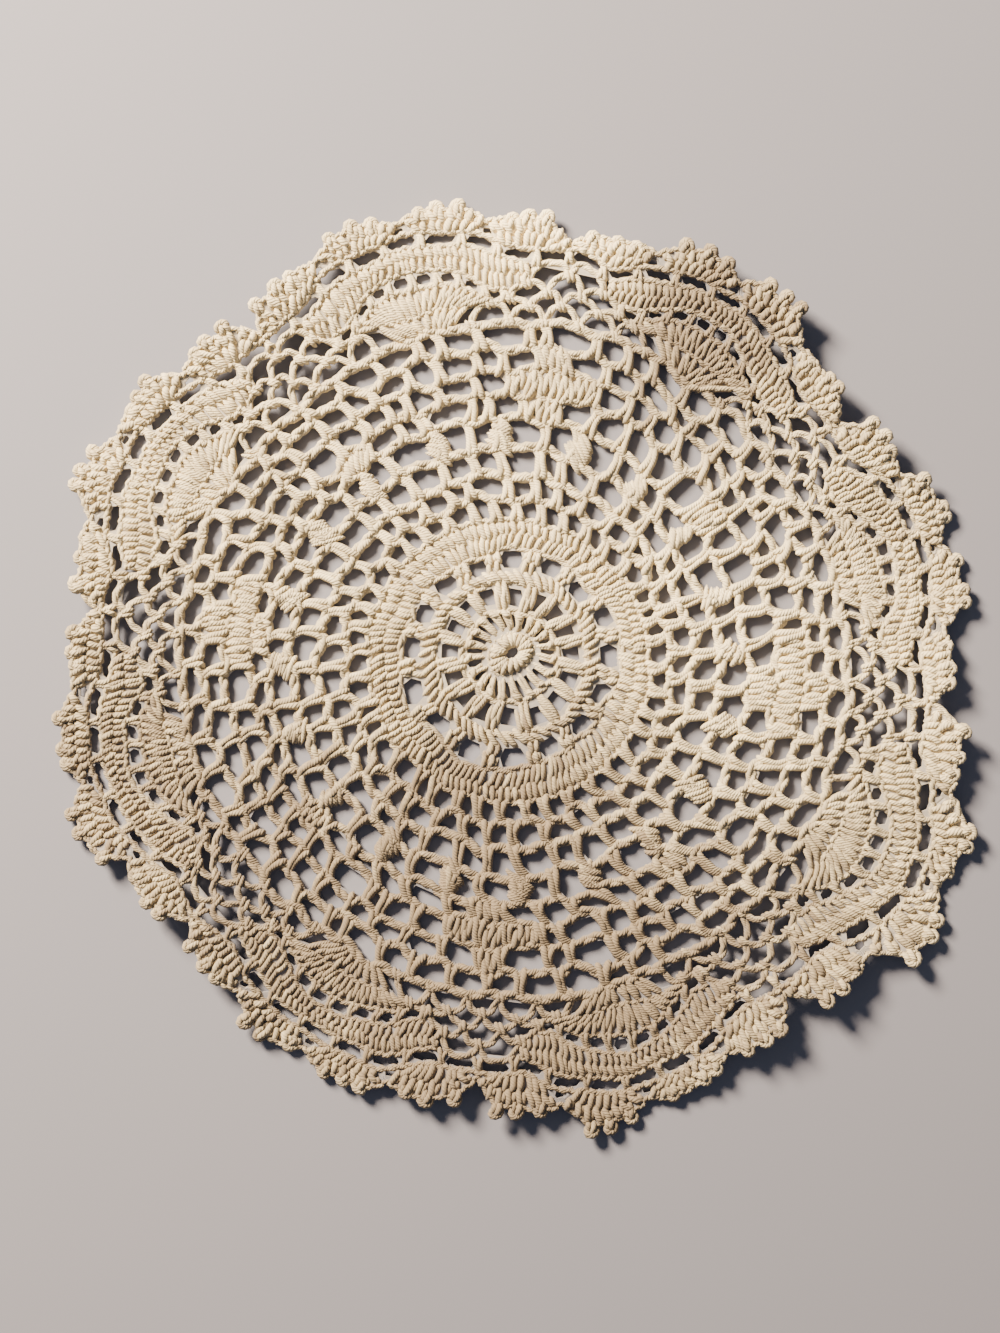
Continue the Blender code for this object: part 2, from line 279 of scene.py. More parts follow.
def workRope(skein, turn, reach, twist, closed=False, beyond=0.0, thick=1.0, roll=yarn["chainRoll"],
             height=yarn["chainHeight"]):
    # two strands side by side along each row of turns and reaches, that roll as they go
    turn, reach = np.atleast_2d(turn), np.atleast_2d(reach)
    spread = thick * yarn["chainSpread"]
    middle = lay(turn, reach, 0.0, beyond)
    length = np.cumsum(np.linalg.norm(np.diff(middle, axis=1, prepend=middle[:, :1]), axis=2), axis=1)
    if closed:
        length *= round(length[0, -1] / twist) * twist / length[0, -1] * (1 - 1 / turn.shape[1])
    phase = 2 * math.pi * length / twist + chance.random((len(turn), 1)) * 6      # any start
    ahead = np.gradient(middle[:, :, :2], axis=1)
    ahead /= np.linalg.norm(ahead, axis=2, keepdims=True)
    for side in (-1, 1):
        out = spread * (side * (1 - roll * np.abs(np.sin(phase))) + 0.5 * roll * np.sin(2 * phase))
        path = middle.copy()
        path[:, :, 0] += -ahead[:, :, 1] * out
        path[:, :, 1] += ahead[:, :, 0] * out
        path[:, :, 2] += height + side * spread * roll * yarn["rollLift"] * np.sin(phase)
        skein.append((path, closed, thick))


def workBraid(skein, turn, reach, closed=False, beyond=0.0):
    # the stitch heads along an edge: two strands that cross each other again and again
    workRope(skein, turn, reach, yarn["braidTwist"], closed, beyond, roll=yarn["braidRoll"])


def workLine(skein, line, feet=(), heads=(), braid=False, thick=1.0):
    # a closed line of chains. Feet pull it out and heads pull it in.
    around = 2 * math.pi * float(np.mean(lines[line](np.linspace(0, sections, yarn["lineSpots"]))))
    turn = np.linspace(0, sections, int(around / yarn["chainStep"]), endpoint=False)
    sag = chance.normal(0, 0.0 if braid else yarn["lineSag"], round(around / yarn["sagStep"]))
    reach = lines[line](turn) + roundTheCloth(sag, turn)
    for spots, way in ((feet, yarn["footPull"]), (heads, yarn["headPull"])):
        for spot in np.asarray(spots, float):
            away = (turn - spot + sections / 2) % sections - sections / 2
            reach = reach + way * np.exp(-(away / turnsAcross(yarn["pullWidth"], reach)) ** 2)
    if braid:
        workBraid(skein, turn, reach, closed=True)
    else:
        workRope(skein, turn, reach, yarn["chainTwist"], closed=True, thick=thick)


# Old cotton yellows unevenly, and the same patches hold painted shade where the light falls off and painted
# light where the cream is brightened: each patch is a bearing, a reach, a radius in mm and a strength
ageingAndPaintedLight = {
    "strandSpread": 0.09, "even": 0.53,
    "patches": ((30, 158, 40, 0.60), (178, 110, 60, 0.64), (168, 165, 50, 0.28), (205, 55, 28, 0.30),
                (255, 170, 60, 0.38), (215, 165, 50, 0.25), (330, 165, 75, -0.16), (5, 185, 40, -0.60),
                (350, 60, 40, -0.15), (80, 90, 60, -0.30), (95, 190, 40, -0.12), (185, 178, 60, 0.44),
                (228, 120, 48, 0.36), (138, 160, 55, 0.34), (140, 45, 30, 0.18)),
}


# the cream's tan share at each spot: uneven yellowing together with painted shade and painted light
def agedAndPaintedLightAt(right, up):
    agedAndPaintedLight = np.full(np.shape(right), ageingAndPaintedLight["even"])
    for bearing, reach, size, strength in ageingAndPaintedLight["patches"]:
        bearing = math.radians(bearing)
        away = np.hypot(right - reach * math.sin(bearing), up - reach * math.cos(bearing))
        agedAndPaintedLight = agedAndPaintedLight + strength * np.exp(-(away / size) ** 2)
    return agedAndPaintedLight


def spinYarn(name, skein, material):
    # every strand of a skein as a round tube with closed ends, all in one mesh
    sides, points, faces, uvs, tones, depths = yarn["sides"], [], [], [], [], []
    start = 0
    angle = np.arange(sides) / sides * 2 * math.pi
    for paths, closed, thick in skein:
        count, rings = paths.shape[:2]
        ahead = np.roll(paths, -1, axis=1) - np.roll(paths, 1, axis=1)
        if not closed:
            ahead[:, 0] = paths[:, 1] - paths[:, 0]
            ahead[:, -1] = paths[:, -1] - paths[:, -2]
        ahead /= np.linalg.norm(ahead, axis=2, keepdims=True)
        sideways = np.cross((0.0, 0.0, 1.0), ahead)
        if not closed:          # carried along the strand, which may stand on end
            sideways[:, 0] += (1e-6, 0, 0)
            for ring in range(1, rings):
                across = np.sum(sideways[:, ring - 1] * ahead[:, ring], axis=1, keepdims=True)
                sideways[:, ring] = sideways[:, ring - 1] - across * ahead[:, ring]
        sideways /= np.linalg.norm(sideways, axis=2, keepdims=True)
        upward = np.cross(ahead, sideways)
        radius = yarn["radius"] * (1 + chance.normal(0, yarn["unevenness"], (count, 1)))
        thick = np.atleast_1d(thick)
        radius = radius * np.interp(np.linspace(0, 1, rings), np.linspace(0, 1, len(thick)), thick)
        if not closed:
            radius[:, [0, -1]] *= yarn["endTaper"]
        spread = sideways[:, :, None] * np.cos(angle)[:, None] + upward[:, :, None] * np.sin(angle)[:, None]
        tube = (paths[:, :, None] + spread * radius[:, :, None, None]).reshape(-1, 3)
        under = np.repeat(liftAt(paths[:, :, 0], paths[:, :, 1]).ravel(), sides)
        # flattened where it lies on the surface
        tube[:, 2] = np.maximum(tube[:, 2], under + yarn["clearance"])
        points.append(tube)
        own = np.repeat(chance.normal(0, ageingAndPaintedLight["strandSpread"], count), rings)
        # tan share: the strand's own tone, plus yellowing with painted shade and painted light
        tones.append(np.repeat(own + agedAndPaintedLightAt(paths[:, :, 0], paths[:, :, 1]).ravel(), sides))
        # the skin's height above the surface, which sets how much painted shade it gets
        depths.append(tube[:, 2] - under)
        # quads between the rings, then a cap on each end
        strand, ring, side = np.meshgrid(range(count), range(rings - (not closed)), range(sides),
                                         indexing="ij")
        after, beside = (ring + 1) % rings, (side + 1) % sides
        corners = [start + (strand * rings + r) * sides + s
                   for r, s in ((ring, side), (ring, beside), (after, beside), (after, side))]
        faces.extend(np.stack(corners, axis=-1).reshape(-1, 4).tolist())
        length = np.cumsum(np.linalg.norm(np.diff(paths, axis=1, prepend=paths[:, :1]), axis=2), axis=1)
        near = length[strand, ring]
        far = np.where(after == 0, near + yarn["chainStep"], length[strand, after])
        left, right = side / sides, (side + 1) / sides
        uvs.append(np.stack([left, near, right, near, right, far, left, far], axis=-1).reshape(-1, 2))
        if not closed:
            first = start + np.arange(count)[:, None] * rings * sides + np.arange(sides)
            faces.extend(first[:, ::-1].tolist())
            faces.extend((first + (rings - 1) * sides).tolist())
            uvs.append(np.zeros((count * 2 * sides, 2)))
        start += count * rings * sides
    mesh = bpy.data.meshes.new(name)
    mesh.from_pydata(np.concatenate(points) * mm, [], faces)
    mesh.uv_layers.new(name="alongTheYarn").data.foreach_set("uv", np.concatenate(uvs).ravel())
    for key, values in (("tone", tones), ("depth", depths)):
        mesh.attributes.new(key, "FLOAT", "POINT").data.foreach_set("value", np.concatenate(values))
    mesh.shade_smooth()
    mesh.materials.append(material)
    piece = bpy.data.objects.new(name, mesh)
    bpy.context.scene.collection.objects.link(piece)
    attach(piece, "root")
    print(f"{name}: {len(faces)} faces, {sum(len(face) - 2 for face in faces)} triangles")
    return piece


def toLinear(colour):
    channels = [int(colour[at:at + 2], 16) / 255 for at in (1, 3, 5)]
    return [c / 12.92 if c <= 0.04045 else ((c + 0.055) / 1.055) ** 2.4 for c in channels] + [1.0]


def addNode(material, kind, settings=None, links=None):
    node = material.node_tree.nodes.new(kind)
    for key, value in (settings or {}).items():
        if isinstance(key, int) or key in node.inputs:
            node.inputs[key].default_value = value
        else:
            setattr(node, key, value)
    for key, socket in (links or {}).items():
        material.node_tree.links.new(socket, node.inputs[key])
    return node


def mercerisedCotton():
    # Crochet cotton: plies twisted hard together and mercerised. The eye gets a matt cream
    # thread with a faint slanting twist, tan where it has aged, with painted shade and painted light in the
    # same patches, and a painted grey shade where the skin lies low between the strands.
    look = {
        # the warm tan is yellowing and painted shade together; the grey is painted shade for the crevices
        # between strands
        "pale": "#F6E4B9", "warm": "#7E6F5A", "paintedShade": "#76829A",
        "paintedShadeStart": 2.9, "paintedShadeEnd": 0.8, "paintedShadeMost": 0.64,      # mm above the surface, share
        "plies": 4, "plyTwist": 5.0, "plyDepth": 0.22,              # mm
        "patch": 22.0, "patchDepth": 0.42, "mottle": 2.2, "mottleDepth": 0.5,
        "fibre": 0.9, "fibreDepth": 0.10,      # loose ones, three times as coarse so that they show
        "roughness": 0.8, "ior": 1.53, "specular": 0.3, "sheen": 0.1, "sheenRoughness": 0.5,
    }
    material = bpy.data.materials.new("mercerised_cotton_yarn")
    material.use_nodes = True
    shader = material.node_tree.nodes["Principled BSDF"]
    for key, value in {"Roughness": look["roughness"], "IOR": look["ior"],
                       "Specular IOR Level": look["specular"], "Sheen Weight": look["sheen"],
                       "Sheen Roughness": look["sheenRoughness"]}.items():
        shader.inputs[key].default_value = value
    where = addNode(material, "ShaderNodeTexCoord")
    patches = addNode(material, "ShaderNodeTexNoise", {"Scale": 1 / (look["patch"] * mm), "Detail": 2.0},
                      {"Vector": where.outputs["Object"]})
    mottle = addNode(material, "ShaderNodeTexNoise", {"Scale": 1 / (look["mottle"] * mm), "Detail": 3.0},
                     {"Vector": where.outputs["Object"]})
    tone = addNode(material, "ShaderNodeAttribute", {"attribute_name": "tone"})
    depth = addNode(material, "ShaderNodeAttribute", {"attribute_name": "depth"})
    patched = addNode(material, "ShaderNodeMath", {"operation": "MULTIPLY_ADD", 1: look["patchDepth"]},
                      {0: patches.outputs["Fac"], 2: tone.outputs["Fac"]})
    toned = addNode(material, "ShaderNodeMath", {"operation": "MULTIPLY_ADD", 1: look["mottleDepth"]},
                    {0: mottle.outputs["Fac"], 2: patched.outputs[0]})
    middle = (look["patchDepth"] + look["mottleDepth"]) / 2
    evened = addNode(material, "ShaderNodeMapRange", {"From Min": middle, "From Max": 1 + middle},
                     {"Value": toned.outputs[0]})
    cream = addNode(material, "ShaderNodeMix", {"data_type": "RGBA", 6: toLinear(look["pale"]),
                    7: toLinear(look["warm"])}, {0: evened.outputs[0]})
    # painted shade: the lower a strand's skin lies above the surface, the more of the grey it takes, so sides
    # and crevices darken as if in shadow
    paintedShadeShare = addNode(material, "ShaderNodeMapRange", {"From Min": look["paintedShadeStart"],
                   "From Max": look["paintedShadeEnd"], "To Max": look["paintedShadeMost"]},
                   {"Value": depth.outputs["Fac"]})
    colour = addNode(material, "ShaderNodeMix", {"data_type": "RGBA", 7: toLinear(look["paintedShade"])},
                     {0: paintedShadeShare.outputs[0], 6: cream.outputs[2]})
    material.node_tree.links.new(colour.outputs[2], shader.inputs["Base Color"])
    # the plies cross the strand's own map at a slant, and fine fibres roughen them
    slant = addNode(material, "ShaderNodeVectorMath", {"operation": "DOT_PRODUCT",
                    1: (look["plies"] * math.pi, look["plies"] * math.pi / look["plyTwist"], 0)},
                    {0: where.outputs["UV"]})
    wave = addNode(material, "ShaderNodeMath", {"operation": "SINE"}, {0: slant.outputs["Value"]})
    ply = addNode(material, "ShaderNodeMath", {"operation": "ABSOLUTE"}, {0: wave.outputs[0]})
    fibre = addNode(material, "ShaderNodeTexNoise", {"Scale": 1 / (look["fibre"] * mm), "Detail": 3.0},
                    {"Vector": where.outputs["Object"]})
    rough = addNode(material, "ShaderNodeBump", {"Distance": look["fibreDepth"] * mm, "Strength": 1.0},
                    {"Height": fibre.outputs["Fac"]})
    bump = addNode(material, "ShaderNodeBump", {"Distance": look["plyDepth"] * mm, "Strength": 1.0},
                   {"Height": ply.outputs[0], "Normal": rough.outputs[0]})
    material.node_tree.links.new(bump.outputs[0], shader.inputs["Normal"])
    return material


cotton = mercerisedCotton()
openings = []          # of the ground cloth, as rings of millimetres right and up


def evenly(count, start=0.0):
    return (np.arange(count) + start) * sections / count


def fromCrown(degrees):
    # turns of these degrees from the crown of every petal
    degrees = np.atleast_1d(np.asarray(degrees, float))
    return (np.arange(sections)[:, None] + 0.5 + degrees * sections / 360).ravel()


def opening(turn, reach, width, height, slant=0.0):
    # six corners of a space in the ground cloth
    across = np.array((-0.5, -0.34, 0.34, 0.5, 0.34, -0.34)) * width
    out = np.array((0.0, 0.5, 0.5, 0.0, -0.5, -0.5)) * height
    openings.append(place(turn + turnsAcross(across - slant * np.maximum(0, out), reach), reach + out))


def workBand(skein, feet, low, high, heads=None, kind=tall, wide=1.0, fat=1.0):
    heads = feet if heads is None else heads
    workStitches(skein, kind, feet, heads, lines[low](feet), lines[high](heads), wide=wide, fat=fat)


# The eye: a ring of stitches worked into it, a round of spokes, sixteen clusters, and the
# posts between the sixteen loops. A space is its reach, width and height in mm.
centre = {"ring": 21, "ringFoot": 2.8, "ringHead": 7.8, "eyeHole": 2.1, "eyeCorners": 10,
          "rope": {"thick": 0.8, "roll": 0.8, "height": 1.7}, "ropeReach": 8.2, "ropeTwist": 2.6,
          "ropePoints": 48,
          "spokes": 20, "spokePhase": 0.4, "spokeLean": 0.09, "spokeFoot": 9.2, "spokeHead": 19.0,
          "slitLean": 0.3, "slit": (14.2, 2.6, 6.4),
          # mm across to each stitch of a pair, as shares of a width at a reach
          "clusters": 16, "clusterPhase": 0.76, "pair": (-0.75, 0.25),
          "clusterFeet": (1.3, 20.0), "clusterHeads": (2.2, 32.0), "clusterSpace": (25.4, 6.6, 7.6),
          "loopFeet": (2.6, 36.0), "loopHeads": (2.9, 45.0), "loopSpace": (41.0, 9.4, 6.8),
          # the four slanting stitches that work over the chains between two clusters
          "chains": 4, "chainSlant": (2.3, 34.0), "chainFoot": 31.0, "chainHead": 37.3, "chainStray": 0.5}


def pairAt(turns, step, spot):
    width, reach = spot
    return turns + turnsAcross(step * width, reach)


skein = []
ringTurns = evenly(centre["ring"])
workStitches(skein, ringStitch, ringTurns, ringTurns, centre["ringFoot"], centre["ringHead"])
workRope(skein, evenly(centre["ropePoints"]), np.full(centre["ropePoints"], centre["ropeReach"]),
         centre["ropeTwist"], closed=True, **centre["rope"])
spokeTurns = evenly(centre["spokes"], centre["spokePhase"])
workStitches(skein, spoke, spokeTurns, spokeTurns - centre["spokeLean"], centre["spokeFoot"],
             centre["spokeHead"])
workLine(skein, "spokes")
for turn in spokeTurns - centre["slitLean"] * centre["spokeLean"] + 0.5 * sections / centre["spokes"]:
    opening(turn, *centre["slit"])
openings.append(place(evenly(centre["eyeCorners"]), np.full(centre["eyeCorners"], centre["eyeHole"])))
clusterTurns = evenly(centre["clusters"], centre["clusterPhase"] + 0.5)
for step in centre["pair"]:
    workBand(skein, pairAt(clusterTurns, step, centre["clusterFeet"]), "spokes", "clusters",
             pairAt(clusterTurns, step, centre["clusterHeads"]), kind=long)
    workBand(skein, pairAt(clusterTurns, step, centre["loopFeet"]), "clusterTops", "loops",
             pairAt(clusterTurns, step, centre["loopHeads"]))
workLine(skein, "clusters")
workLine(skein, "loops")
chainTurns = evenly(centre["chains"] * centre["clusters"])
slant = turnsAcross(*centre["chainSlant"])
chainFeet = centre["chainFoot"] + chance.normal(0, centre["chainStray"], len(chainTurns))
chainHeads = centre["chainHead"] + chance.normal(0, centre["chainStray"], len(chainTurns))
workStitches(skein, slanting, chainTurns + slant, chainTurns - slant, chainFeet, chainHeads)
for turn in evenly(centre["clusters"], centre["clusterPhase"]):
    opening(turn, *centre["clusterSpace"])
    opening(turn, *centre["loopSpace"])
spinYarn("centre_rounds", skein, cotton)

# The close band round the centre
band = {"stitches": 118}
skein = []
workBand(skein, evenly(band["stitches"]), "loops", "band")
workLine(skein, "band", braid=True)
spinYarn("close_band", skein, cotton)

# The net: its posts stand at the edges of the columns and lean back against the work.
# Columns are counted in a repeat of some sections, and filled ones are worked close.
netColumns = ("foot", "head", "repeat", "columns", "offset", "filled", "piece")
net = {"lean": 0.16, "leanAtFoot": 0.2, "leanAtHead": -0.8, "bend": 2.4, "edgeStray": 0.018,
       "headStray": 0.01, "chain": {"inner_net": 1.38, "outer_net": 1.3}, "postFat": 1.3,
       "postWide": {"inner_net": 1.05, "outer_net": 1.1},
       "closePitch": 3.3, "closeLean": -0.3, "closeFat": 1.15,
       # mm of ground under a post and under a line, and how a space leans with its posts
       "postStrip": 1.9, "lineStrip": 1.3, "spaceShift": 0.1, "spaceLean": 0.32,
       # mm across at a reach and the strand's own reach, for its foot and its head
       "wedgeEvery": 2, "wedgeStrands": 8, "wedgeFoot": (3.6, 85.0), "wedgeHead": (-6.4, 95.0),
       "wedgeFootReach": 85.4, "wedgeHeadReach": 93.0, "wedgeFootStep": 1.4, "wedgeHeadStep": 1.05,
       "wedgeSpread": 0.6}
netRounds = [dict(zip(netColumns, row)) for row in (
    ("band", "netA", 1, 5, 0.60, (), "inner_net"),
    ("netA", "netB", 1, 5, 0.05, (), "inner_net"),
    ("netB", "netC", 1, 5, 0.10, (), "inner_net"),
    ("netC", "netD", 2, 10, 0.10, (), "inner_net"),
    ("netD", "netE", 1, 6, -0.50, (0,), "outer_net"),
    ("netE", "netF", 2, 14, -0.50, (13, 0, 1), "outer_net"),
    ("netF", "netG", 2, 14, -0.50, (0,), "outer_net"),
    ("netG", "netH", 1, 7, -0.10, (), "outer_net"),
)]
skeins = {"inner_net": [], "outer_net": []}
netFeet, netHeads = {}, {}
for row in netRounds:
    skein = skeins[row["piece"]]
    width = row["repeat"] / row["columns"]
    count = sections * row["columns"] // row["repeat"]
    low, high = lines[row["foot"]](0.0), lines[row["head"]](0.0)
    middle = (low + high) / 2
    edges = (np.arange(count) + row["offset"]) * width + chance.normal(0, net["edgeStray"], count)
    lean = turnsAcross(net["lean"] * (high - low), middle)
    feet = edges + net["leanAtFoot"] * lean
    heads = edges + net["leanAtHead"] * lean + chance.normal(0, net["headStray"], count)
    workStitches(skein, post, feet, heads, low, high, bend=net["bend"],
                 wide=net["postWide"][row["piece"]], fat=net["postFat"])
    netFeet[row["foot"]], netHeads[row["head"]] = feet, heads
    for column in range(count):
        left, right = edges[column], edges[(column + 1) % count] + (column == count - 1) * sections
        if column % row["columns"] in row["filled"]:
            gap = (right - left) / turnsAcross(net["closePitch"], middle)
            close = left + (right - left) * np.arange(1, round(gap)) / round(gap)
            workStitches(skein, long, close, close + net["closeLean"] * lean, low, high,
                         wide=net["closeFat"], fat=net["closeFat"])
        else:
            space = (right - left) / turnsAcross(1.0, middle) - net["postStrip"]
            opening((left + right) / 2 + net["spaceShift"] * lean, middle, space,
                    high - low - net["lineStrip"], net["spaceLean"])
# every second post of one round carries a wedge of long slanting stitches
wedgeTurns = netFeet["netC"][1::net["wedgeEvery"]]
for step in range(net["wedgeStrands"]):
    foot = wedgeTurns + turnsAcross(*net["wedgeFoot"])
    across, reach = net["wedgeHead"]
    head = wedgeTurns + turnsAcross(across + net["wedgeSpread"] * step, reach)
    workStitches(skeins["inner_net"], slanting, foot, head,
                 net["wedgeFootReach"] + net["wedgeFootStep"] * step,
                 net["wedgeHeadReach"] + net["wedgeHeadStep"] * step)
for name, names in (("inner_net", "ABCD"), ("outer_net", "EFGH")):
    for letter in names:
        line = "net" + letter
        workLine(skeins[name], line, netFeet.get(line, ()), netHeads.get(line, ()), thick=net["chain"][name])
    spinYarn(name, skeins[name], cotton)

# The petals: a fan that opens round by round, small spaces over it, a close arch, and long
# spaces. Between the petals hang loops of chain, each round's on the tops of the last. Feet,
# heads, ends and posts are degrees from a crown, the step is in degrees, and the slant in turns.
petalWork = {"fan": 9, "fanFeet": 3.6, "fanHeads": 7.2, "wideFan": 19, "wideHeads": 10.8,
             "arch": 35, "archEnd": 16.2, "archSlant": 0.006,
             "smallPosts": (-13.3, -10, -6.6, -3.3, 0, 3.3, 6.6, 10, 13.3),
             "longPosts": (-22.5, -17.5, -12.5, -7.5, -2.5, 2.5, 7.5, 12.5, 17.5),
             "postWide": 0.75, "postFat": 0.92, "edgeStep": 0.5,
             "edgeEnds": {"fan": 6.6, "wideFan": 11.2, "smallSpaces": 13.9, "arch": 16.6}}


def spaced(count, end):
    return fromCrown(np.linspace(-end, end, count))


def workPosts(skein, spots, low, high):
    workBand(skein, fromCrown(petalWork[spots]), low, high, kind=post, wide=petalWork["postWide"],
             fat=petalWork["postFat"])


def workEdge(skein, line):
    # the braided heads along one round of every petal, to some degrees from the crown
    end = petalWork["edgeEnds"][line]
    turns = spaced(int(end * 2 / petalWork["edgeStep"]), end).reshape(sections, -1)
    workBraid(skein, turns, lines[line](turns))


skein = []
workBand(skein, spaced(petalWork["fan"], petalWork["fanFeet"]), "netH", "fan",
         spaced(petalWork["fan"], petalWork["fanHeads"]), kind=long)
workBand(skein, spaced(petalWork["wideFan"], petalWork["fanHeads"]), "fan", "wideFan",
         spaced(petalWork["wideFan"], petalWork["wideHeads"]), kind=long)
workPosts(skein, "smallPosts", "wideFan", "smallSpaces")
workEdge(skein, "fan")
workEdge(skein, "wideFan")
spinYarn("petal_fans", skein, cotton)

skein = []
archTurns = spaced(petalWork["arch"], petalWork["archEnd"])
workBand(skein, archTurns + petalWork["archSlant"], "smallSpaces", "arch",
         archTurns - petalWork["archSlant"])
workPosts(skein, "longPosts", "arch", "longSpaces")
workEdge(skein, "smallSpaces")
workEdge(skein, "arch")
workLine(skein, "longSpaces", braid=True)
spinYarn("petal_arches", skein, cotton)

# loops of chain: the lines they hang between, and degrees of their tops from the valley
loopRounds = (("netH", "fan", (-11.6, -5.8, 0.0, 5.8, 11.6)), ("fan", "wideFan", (-8.7, -2.9, 2.9, 8.7)),
              ("wideFan", "smallSpaces", (-5.8, 0.0, 5.8)), ("smallSpaces", "arch", (-2.9, 2.9)))
loopWork = {"half": 2.9, "rings": 16, "thick": 0.95, "square": 3.2,
            "knot": 0.86, "knotLean": 0.01, "knotFoot": 2.0, "knotHead": 2.6,
            # half of the open ground that they cross: degrees from the valley, and reach
            "ground": ((6.6, 140.6), (13.2, 140.6), (17.3, 141.2), (15.5, 146.2), (13.2, 147.6),
                       (11.0, 148.2), (9.1, 149.0), (8.0, 152.2), (7.2, 157.5), (5.8, 163.0))}
halfSection = 180 / sections       # degrees from a crown to a valley
skein = []
for low, high, tops in loopRounds:
    way = np.linspace(-1, 1, loopWork["rings"])
    turns = fromCrown([[top - halfSection + way * loopWork["half"]] for top in tops])
    turns = turns.reshape(-1, loopWork["rings"])
    bottom, top = lines[low](turns), lines[high](turns)
    workRope(skein, turns, bottom + (top - bottom) * (1 - np.abs(way) ** loopWork["square"]),
             yarn["chainTwist"], thick=loopWork["thick"])
    joints = np.append(np.array(tops) - loopWork["half"], tops[-1] + loopWork["half"])
    joints = fromCrown(joints - halfSection)
    reach = lines[low](joints)
    workStitches(skein, knot, joints + loopWork["knotLean"], joints - loopWork["knotLean"],
                 reach - loopWork["knotFoot"], reach + loopWork["knotHead"],
                 wide=loopWork["knot"], fat=loopWork["knot"])
for valley in range(sections):
    side = np.array(loopWork["ground"])
    corner = np.concatenate([side[:1] * (0, 1), side * (-1, 1), side[::-1]])
    openings.append(place(valley + corner[:, 0] * sections / 360, corner[:, 1]))
# spaces in the ground under the petals: the lines they lie between, degrees from the crown,
# and mm out from the middle of those lines, wide and high. The last are at the notches.
petalSpaces = (
    ("wideFan", "smallSpaces", (-11.7, -8.3, -4.9, -1.6, 1.6, 4.9, 8.3, 11.7), 0.0, 6.0, 3.6),
    ("arch", "longSpaces", (-20, -15, -10, -5, 0, 5, 10, 15, 20), 0.0, 12.0, 4.6),
    ("longSpaces", "longSpaces", (-11.25, 0, 11.25), 2.2, 4.0, 2.4),
)
for low, high, row, out, width, height in petalSpaces:
    for degrees in row:
        for turn in fromCrown(degrees):
            opening(turn, float(lines[low](turn) + lines[high](turn)) / 2 + out, width, height)
spinYarn("valley_loops", skein, cotton)

# The shells of the edging: stitches that spread from the last round to a scalloped edge
# with three picots
shell = {"stitches": 8, "feet": 0.62, "headStart": 0.06, "body": 0.6, "tallBody": 1.1,
         "wide": 1.35, "fat": 1.25, "edgePoints": 1000,
         "profileAt": (0, 0.1, 0.25, 0.5, 0.75, 0.9, 1), "profile": (0, 0.5, 0.88, 1, 0.88, 0.5, 0),
         "picots": (0.25, 0.49, 0.73), "picotTop": (1.12, 1.08, 1.16), "picotTall": 5.6,
         "picotTip": 1.4, "picotStray": 0.01}
shellCount = len(shellReaches)
shellWidth = sections / shellCount     # in turns


def shellRise(turn, share=1.0):
    # mm from the line through the notches to the edge of the shell at this turn
    spot = turn / shellWidth
    index = np.floor(spot).astype(int) % shellCount
    crown = np.take(shellReaches, index) - roundTheCloth(notches, turn)
    return share * crown * np.interp(spot % 1, shell["profileAt"], shell["profile"])


def bodyRise(turn):
    # the stitches of a tall shell are longer, so that its picots still stand on them
    rise = shellRise(turn)
    return np.maximum(shell["body"] * rise, shell["tallBody"] * rise - shell["picotTall"])


skein = []
shellStarts = evenly(shellCount)[:, None]
headShare = np.linspace(shell["headStart"], 1 - shell["headStart"], shell["stitches"])
heads = (shellStarts + headShare * shellWidth).ravel()
feet = (shellStarts + (0.5 + (headShare - 0.5) * shell["feet"]) * shellWidth).ravel()
workStitches(skein, tall, feet, heads, lines["longSpaces"](feet), lines["rim"](heads),
             rise=bodyRise(heads), wide=shell["wide"], fat=shell["fat"])
edge = evenly(shell["edgePoints"])
workBraid(skein, edge, lines["rim"](edge), closed=True, beyond=bodyRise(edge))
for share, top in zip(shell["picots"], shell["picotTop"]):
    middle = (shellStarts + share * shellWidth).ravel() + chance.normal(0, shell["picotStray"], shellCount)
    reach, base = lines["rim"](middle), shellRise(middle, top) - shell["picotTall"]
    workStitches(skein, picot, middle, middle, reach, reach, base=base,
                 rise=shell["picotTall"] - shell["picotTip"] * yarn["radius"])
spinYarn("shell_edging", skein, cotton)

# The ground: its share of a shell's rise, and the rest in mm. Its depth is the height whose painted shade it
# takes, so that the gaps between strands read as yarn in shade.
groundWork = {"thickness": 1.8, "height": 1.6, "depth": 1.5, "shellShare": 0.72, "inset": 0.8,
              "corners": 384, "longestEdge": 14.0, "sweeps": 2}


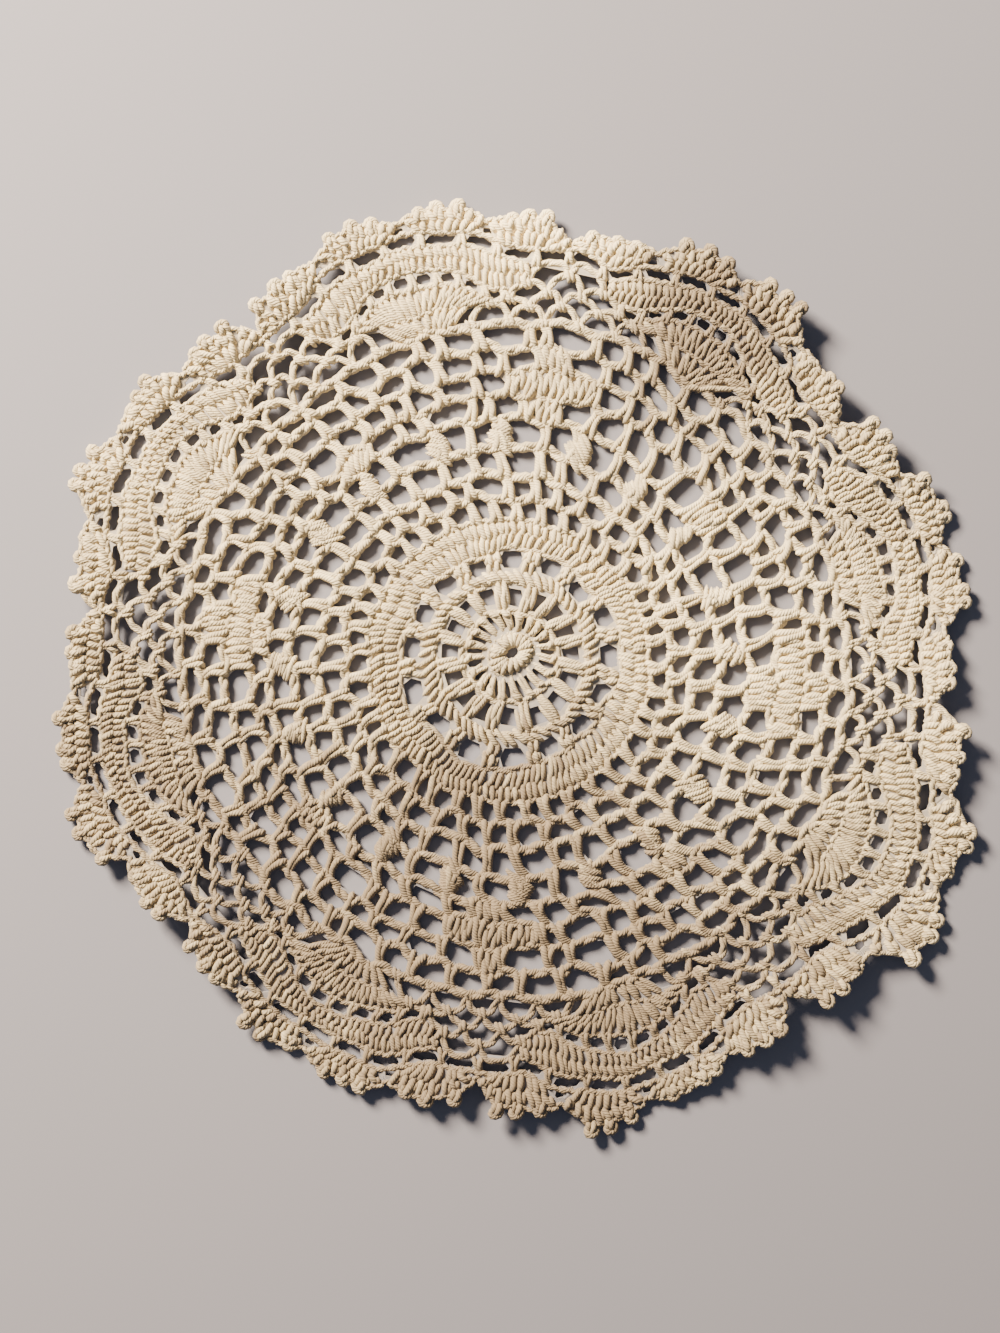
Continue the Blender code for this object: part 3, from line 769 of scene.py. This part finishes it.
def groundCloth():
    # the thin cloth that the strands fill out: it follows the outline and every space
    edge = evenly(groundWork["corners"])
    outline = place(edge, lines["rim"](edge), shellRise(edge, groundWork["shellShare"]) - groundWork["inset"])
    curve = bpy.data.curves.new("ground_outline", "CURVE")
    curve.dimensions = "2D"
    curve.fill_mode = "BOTH"
    for right, up in [outline] + openings:
        spline = curve.splines.new("POLY")
        spline.points.add(len(right) - 1)
        for point, x, y in zip(spline.points, right, up):
            point.co = (x * mm, y * mm, 0.0, 1.0)
        spline.use_cyclic_u = True
    flat = bpy.data.objects.new("ground_outline", curve)
    bpy.context.scene.collection.objects.link(flat)
    mesh = bpy.data.meshes.new_from_object(flat.evaluated_get(bpy.context.evaluated_depsgraph_get()))
    bpy.data.objects.remove(flat)
    mesh.name = "ground_cloth"
    work = bmesh.new()
    work.from_mesh(mesh)
    bmesh.ops.remove_doubles(work, verts=work.verts, dist=1e-6)
    for sweep in range(groundWork["sweeps"]):          # so that the cloth can follow its waves
        bmesh.ops.beautify_fill(work, faces=work.faces, edges=work.edges)
        longest = groundWork["longestEdge"] * mm
        wide = [e for e in work.edges if not e.is_boundary and e.calc_length() > longest]
        bmesh.ops.subdivide_edges(work, edges=wide, cuts=1)
        bmesh.ops.triangulate(work, faces=work.faces)
    bmesh.ops.recalc_face_normals(work, faces=work.faces)
    if sum(face.normal.z for face in work.faces) < 0:
        bmesh.ops.reverse_faces(work, faces=work.faces)
    area = sum(face.calc_area() for face in work.faces)
    for vertex in work.verts:
        lift = float(liftAt(vertex.co.x / mm, vertex.co.y / mm))
        vertex.co.z = (lift + groundWork["height"]) * mm
    work.to_mesh(mesh)
    work.free()
    mesh.materials.append(cotton)
    ground = bpy.data.objects.new("ground_cloth", mesh)
    bpy.context.scene.collection.objects.link(ground)
    bpy.context.view_layer.objects.active = ground
    ground.select_set(True)
    thicken = ground.modifiers.new("thickness", "SOLIDIFY")
    thicken.thickness = groundWork["thickness"] * mm
    thicken.offset = 0.0
    bpy.ops.object.modifier_apply(modifier=thicken.name)
    ground.select_set(False)
    spots = np.array([vertex.co[:2] for vertex in ground.data.vertices]) / mm
    # painted shade: the ground gets the grey of a skin at that depth, and the tan, painted shade and painted
    # light of its patches
    for key, values in (("tone", agedAndPaintedLightAt(*spots.T)), ("depth", np.full(len(spots), groundWork["depth"]))):
        ground.data.attributes.new(key, "FLOAT", "POINT").data.foreach_set("value", values)
    faces = len(ground.data.polygons)
    print(f"ground: {len(openings)} openings, {faces} faces, {area * 1e4:.0f} square cm")
    return ground, area


ground, groundArea = groundCloth()
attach(ground, "root")
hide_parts("doily")

# The plain studio: a pale floor, a big soft key from the upper left, and a pale room
studio = {"floor": "#7E7E88", "floorSize": 6.0, "floorRoughness": 0.9,
          "room": "#DCE4F8", "roomStrength": 0.24,
          "keyPower": 196.0, "keySize": 0.45, "keyPlace": (-0.93, 0.99, 0.90), "keyColour": "#FFEBCF",
          "aim": (-0.0054, -0.0027), "lens": 50.0, "sensor": 36.0, "nearest": 0.01,
          "frameHeight": 1333 * 0.415}          # rows of the frame by mm in each
bpy.ops.mesh.primitive_plane_add(size=studio["floorSize"], location=(0, 0, 0))
floor = bpy.context.active_object
floor.name = "floor"
floor.select_set(False)
paper = bpy.data.materials.new("matt_paper_floor")
paper.use_nodes = True
surface = paper.node_tree.nodes["Principled BSDF"]
surface.inputs["Base Color"].default_value = toLinear(studio["floor"])
surface.inputs["Roughness"].default_value = studio["floorRoughness"]
floor.data.materials.append(paper)

bpy.ops.object.light_add(type="AREA", location=studio["keyPlace"])
key = bpy.context.active_object
key.name = "key_light"
key.data.energy, key.data.size = studio["keyPower"], studio["keySize"]
key.data.color = toLinear(studio["keyColour"])[:3]
key.rotation_euler = key.location.to_track_quat("Z", "Y").to_euler()
world = bpy.data.worlds.new("room")
bpy.context.scene.world = world
world.use_nodes = True
glow = world.node_tree.nodes["Background"]
glow.inputs["Color"].default_value = toLinear(studio["room"])
glow.inputs["Strength"].default_value = studio["roomStrength"]

distance = studio["frameHeight"] * mm * studio["lens"] / studio["sensor"]
bpy.ops.object.camera_add(location=(*studio["aim"], distance), rotation=(0, 0, 0))
camera = bpy.context.active_object
camera.data.lens = studio["lens"]
camera.data.clip_start = studio["nearest"]
bpy.context.scene.camera = camera
bpy.ops.object.select_all(action="DESELECT")
